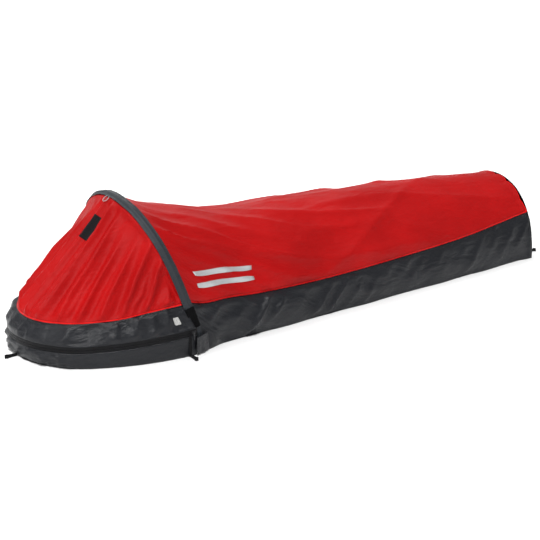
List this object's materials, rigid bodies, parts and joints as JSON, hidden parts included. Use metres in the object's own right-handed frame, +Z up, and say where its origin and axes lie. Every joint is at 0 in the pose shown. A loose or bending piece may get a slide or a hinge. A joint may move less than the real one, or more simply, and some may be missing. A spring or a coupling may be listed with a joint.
{
  "type": "single-hoop bivy sack",
  "caption": "Waterproof shell for one sleeping bag with a bathtub floor, a leaning hoop pole, a hood that zips round the head end and folds back, and an insect screen inside it",
  "frame": {"origin": "on the ground under the middle of the sack's length", "axes": "+X towards the feet, -X the head, +Z up, the sleeper's right hand at -Y"},
  "size_m": [2.22, 0.7652, 0.4997],
  "materials": {
    "coated_nylon": "semi-gloss, crinkled",
    "floor_nylon": "semi-gloss",
    "red_ripstop": "satin",
    "sleeve_fabric": "matt",
    "acetal": "satin",
    "ferrule_metal": "satin",
    "hard_plastic": "matt",
    "elastic": "matt",
    "zip_tape": "matt",
    "zip_coil": "satin",
    "slider_metal": "satin",
    "pull_plastic": "matt",
    "mesh": "open mesh",
    "hook_and_loop": "matt pile",
    "webbing": "matt weave",
    "cord": "matt",
    "reflective": "retroreflective",
    "dark_patch": "matt",
    "label": "matt"
  },
  "bodies": {
    "shell": {"floor": "floor_nylon", "tub_wall_right": "coated_nylon", "tub_wall_left": "coated_nylon", "tub_wall_head": "coated_nylon", "foot_panel": "coated_nylon", "top_panel": "red_ripstop", "pole_sleeve": "sleeve_fabric", "pole_pocket_right": "sleeve_fabric", "pole_pocket_left": "sleeve_fabric", "pole_section_1": "acetal", "pole_section_2": "acetal", "pole_section_3": "acetal", "pole_section_4": "acetal", "pole_ferrules": "ferrule_metal", "pole_tips": "hard_plastic", "shock_cord": "elastic", "zip_tape_lower": "zip_tape", "zip_coil_lower": "zip_coil", "screen_tape_lower": "zip_tape", "stake_loop_head": "webbing", "stake_loop_foot_right": "webbing", "stake_loop_foot_left": "webbing", "stake_strap_right": "webbing", "stake_strap_left": "webbing", "stake_riser_right": "webbing", "stake_riser_left": "webbing", "guy_loop": "cord", "pad_strap_shoulder": "webbing", "pad_strap_hip": "webbing", "pad_strap_knee": "webbing", "inner_pocket": "mesh", "reflective_patch": "reflective"},
    "hood": {"hood_panel": "red_ripstop", "hood_band": "coated_nylon", "zip_tape_upper": "zip_tape", "zip_coil_upper": "zip_coil", "hood_patch": "dark_patch", "band_label": "label"},
    "screen": {"insect_screen": "mesh", "screen_tape_upper": "zip_tape"},
    "slider_right": {"slider_right": "slider_metal"},
    "pull_right_outer": {"pull_right_outer": "pull_plastic"},
    "pull_right_inner": {"pull_right_inner": "pull_plastic"},
    "slider_left": {"slider_left": "slider_metal"},
    "pull_left_outer": {"pull_left_outer": "pull_plastic"},
    "pull_left_inner": {"pull_left_inner": "pull_plastic"},
    "screen_slider": {"screen_slider": "slider_metal"},
    "screen_pull": {"screen_pull": "pull_plastic"},
    "flap_right": {"pole_flap_right": "coated_nylon"},
    "flap_left": {"pole_flap_left": "coated_nylon"},
    "tab_right": {"zip_tab_right": "hook_and_loop"},
    "tab_left": {"zip_tab_left": "hook_and_loop"}
  },
  "joints": [
    {"name": "hood_fold", "type": "hinge", "parent": "shell", "child": "hood", "pos_m": [-0.56515, 0, 0.085], "axis": [0, 1, 0], "range_deg": [0, 145], "deforming": ["hood_panel", "hood_band", "hood_patch", "band_label"]},
    {"name": "screen_fold", "type": "hinge", "parent": "shell", "child": "screen", "pos_m": [-0.58028, 0, 0.055], "axis": [0, 1, 0], "range_deg": [0, 58], "deforming": ["insect_screen"]},
    {"name": "slider_right_travel", "type": "hinge", "parent": "shell", "child": "slider_right", "pos_m": [-0.56515, 0.38993, 0.085], "axis": [0.0489, 0, -0.9988], "range_deg": [0, 27]},
    {"name": "slider_left_travel", "type": "hinge", "parent": "shell", "child": "slider_left", "pos_m": [-0.56515, -0.38993, 0.085], "axis": [-0.0489, 0, 0.9988], "range_deg": [0, 27]},
    {"name": "pull_right_outer_swing", "type": "hinge", "parent": "slider_right", "child": "pull_right_outer", "pos_m": [-0.58423, -0.34175, 0.08407], "axis": [-0.9985, 0.0261, -0.0488], "range_deg": [0, 160]},
    {"name": "pull_right_inner_swing", "type": "hinge", "parent": "slider_right", "child": "pull_right_inner", "pos_m": [-0.58394, -0.33031, 0.08408], "axis": [0.9985, -0.0261, 0.0488], "range_deg": [0, 12]},
    {"name": "pull_left_outer_swing", "type": "hinge", "parent": "slider_left", "child": "pull_left_outer", "pos_m": [-0.58423, 0.34175, 0.08407], "axis": [0.9985, 0.0261, 0.0488], "range_deg": [0, 160]},
    {"name": "pull_left_inner_swing", "type": "hinge", "parent": "slider_left", "child": "pull_left_inner", "pos_m": [-0.58394, 0.33031, 0.08408], "axis": [-0.9985, -0.0261, -0.0488], "range_deg": [0, 12]},
    {"name": "screen_slider_travel", "type": "hinge", "parent": "shell", "child": "screen_slider", "pos_m": [-0.58028, 0.33436, 0.055], "axis": [0.0489, 0, -0.9988], "range_deg": [0, 29.4]},
    {"name": "screen_pull_swing", "type": "hinge", "parent": "screen_slider", "child": "screen_pull", "pos_m": [-0.59416, -0.31705, 0.05432], "axis": [0.9986, -0.0213, 0.0488], "range_deg": [0, 100]},
    {"name": "flap_right_swing", "type": "hinge", "parent": "shell", "child": "flap_right", "pos_m": [-0.519, -0.3255, 0.038], "axis": [0, 0, 1], "range_deg": [0, 110]},
    {"name": "flap_left_swing", "type": "hinge", "parent": "shell", "child": "flap_left", "pos_m": [-0.519, 0.3255, 0.038], "axis": [0, 0, -1], "range_deg": [0, 110]},
    {"name": "tab_right_swing", "type": "hinge", "parent": "shell", "child": "tab_right", "pos_m": [-0.58803, -0.31662, 0.1623], "axis": [-0.9589, 0, -0.2838], "range_deg": [0, 150]},
    {"name": "tab_left_swing", "type": "hinge", "parent": "shell", "child": "tab_left", "pos_m": [-0.58803, 0.31662, 0.1623], "axis": [0.9589, 0, 0.2838], "range_deg": [0, 150]}
  ],
  "couplings": [
    {"joint": "screen_fold", "follows": "hood_fold", "ratio": 0.4}
  ]
}
